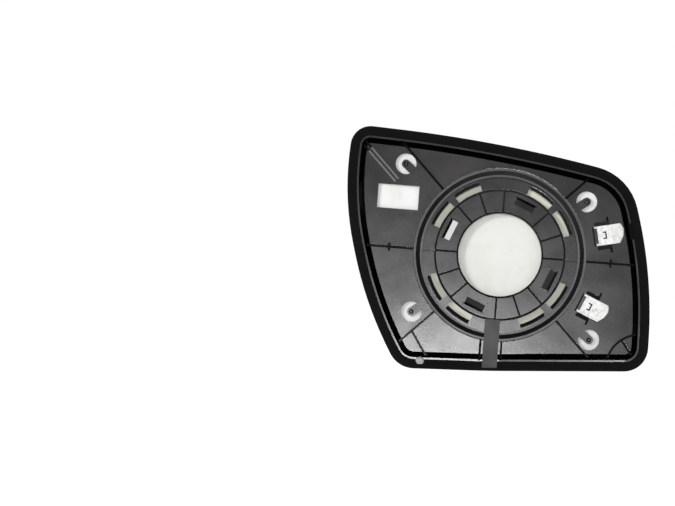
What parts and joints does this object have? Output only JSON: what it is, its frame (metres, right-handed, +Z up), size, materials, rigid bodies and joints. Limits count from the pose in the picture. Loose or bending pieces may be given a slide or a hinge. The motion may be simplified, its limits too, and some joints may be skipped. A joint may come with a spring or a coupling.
{
  "type": "car door mirror glass",
  "caption": "Heated convex glass of a left-hand car door mirror on a black moulded backing plate with a snap ring and blade terminals.",
  "frame": {"origin": "on the axis of the bore in the backing plate, in the plane of the tray's ribs and lips that the tilt motor seats on", "axes": "+Z up as fitted on the car, -Y out of the back of the plate towards the tilt motor, +Y out of the mirror face, +X to the right as seen from the back"},
  "size_m": [0.1955, 0.0158, 0.1589],
  "materials": {
    "black_plastic": "moulded black, satin floor with glossy rim",
    "pad_film": "off-white film",
    "mirror": "silvered glass",
    "tinned_metal": "bright tin plate"
  },
  "bodies": {
    "root": {"backing_plate": "black_plastic", "heater_pad": "pad_film", "mirror_glass": "mirror", "terminal_upper": "tinned_metal", "terminal_lower": "tinned_metal"}
  },
  "joints": []
}
